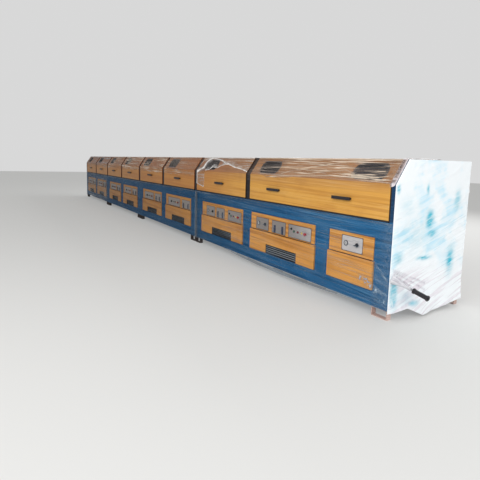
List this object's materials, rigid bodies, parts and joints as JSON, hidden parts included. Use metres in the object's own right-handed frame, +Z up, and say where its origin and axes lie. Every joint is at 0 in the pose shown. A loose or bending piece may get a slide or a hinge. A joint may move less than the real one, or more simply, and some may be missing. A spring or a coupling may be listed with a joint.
{
  "type": "straight-line wire drawing machine",
  "caption": "Straight-line wire drawing machine: joined blue steel sections, yellow access panels with control plates and vent grilles, and lift-up yellow guards with screened windows.",
  "frame": {"origin": "on the floor, under the middle of the whole machine with its end lever", "axes": "+X along the line towards the end with the narrow bay, -Y towards the operator, +Z up"},
  "size_m": [15.6318, 1.234, 1.622],
  "materials": {
    "guard_yellow": "semi-gloss",
    "panel_yellow": "semi-gloss",
    "frame_blue": "semi-gloss",
    "post_black": "satin",
    "handle_black": "matte",
    "screen_black": "matte",
    "grille_black": "satin",
    "seal_rubber": "matte",
    "plate_grey": "satin",
    "knob_black": "gloss",
    "button_green": "gloss",
    "stop_red": "gloss",
    "gauge_white": "gloss",
    "breaker_grey": "matte",
    "block_steel": "turned",
    "die_box_grey": "satin",
    "hinge_steel": "satin",
    "foot_primer": "matte",
    "lever_steel": "polished",
    "grip_black": "matte"
  },
  "bodies": {
    "housing": {"base_frame_1": "frame_blue", "base_frame_2": "frame_blue", "base_frame_3": "frame_blue", "base_frame_4": "frame_blue", "rear_duct": "frame_blue", "rear_panels": "panel_yellow", "end_panels": "frame_blue", "partitions": "post_black", "seal_strips": "seal_rubber", "control_panels": "panel_yellow", "access_panels": "panel_yellow", "vent_grilles": "grille_black", "instrument_plates": "plate_grey", "switch_knobs": "knob_black", "push_buttons": "button_green", "stop_buttons": "stop_red", "gauges": "gauge_white", "breakers": "breaker_grey", "drawing_blocks": "block_steel", "die_boxes": "die_box_grey", "hinge_brackets": "hinge_steel", "foot_tubes": "foot_primer", "end_lever": "lever_steel", "lever_grip": "grip_black"},
    "guard_1": {"guard_1": "guard_yellow", "guard_1_handles": "handle_black", "guard_1_screens": "screen_black"},
    "guard_2": {"guard_2": "guard_yellow", "guard_2_handles": "handle_black", "guard_2_screens": "screen_black"},
    "guard_3": {"guard_3": "guard_yellow", "guard_3_handles": "handle_black", "guard_3_screens": "screen_black"},
    "guard_4": {"guard_4": "guard_yellow", "guard_4_handles": "handle_black", "guard_4_screens": "screen_black"},
    "guard_5": {"guard_5": "guard_yellow", "guard_5_handles": "handle_black", "guard_5_screens": "screen_black"},
    "guard_6": {"guard_6": "guard_yellow", "guard_6_handles": "handle_black", "guard_6_screens": "screen_black"},
    "guard_7": {"guard_7": "guard_yellow", "guard_7_handles": "handle_black", "guard_7_screens": "screen_black"},
    "guard_8": {"guard_8": "guard_yellow", "guard_8_handles": "handle_black", "guard_8_screens": "screen_black"}
  },
  "joints": [
    {"name": "guard_1_lift", "type": "hinge", "parent": "housing", "child": "guard_1", "pos_m": [6.04108, 0.317, 1.606], "axis": [-1, 0, 0], "range_deg": [0, 70]},
    {"name": "guard_2_lift", "type": "hinge", "parent": "housing", "child": "guard_2", "pos_m": [3.72658, 0.317, 1.606], "axis": [-1, 0, 0], "range_deg": [0, 70]},
    {"name": "guard_3_lift", "type": "hinge", "parent": "housing", "child": "guard_3", "pos_m": [1.89158, 0.317, 1.606], "axis": [-1, 0, 0], "range_deg": [0, 70]},
    {"name": "guard_4_lift", "type": "hinge", "parent": "housing", "child": "guard_4", "pos_m": [0.12658, 0.317, 1.606], "axis": [-1, 0, 0], "range_deg": [0, 70]},
    {"name": "guard_5_lift", "type": "hinge", "parent": "housing", "child": "guard_5", "pos_m": [-1.63842, 0.317, 1.606], "axis": [-1, 0, 0], "range_deg": [0, 70]},
    {"name": "guard_6_lift", "type": "hinge", "parent": "housing", "child": "guard_6", "pos_m": [-3.40342, 0.317, 1.606], "axis": [-1, 0, 0], "range_deg": [0, 70]},
    {"name": "guard_7_lift", "type": "hinge", "parent": "housing", "child": "guard_7", "pos_m": [-5.16842, 0.317, 1.606], "axis": [-1, 0, 0], "range_deg": [0, 70]},
    {"name": "guard_8_lift", "type": "hinge", "parent": "housing", "child": "guard_8", "pos_m": [-6.93292, 0.317, 1.606], "axis": [-1, 0, 0], "range_deg": [0, 70]}
  ]
}
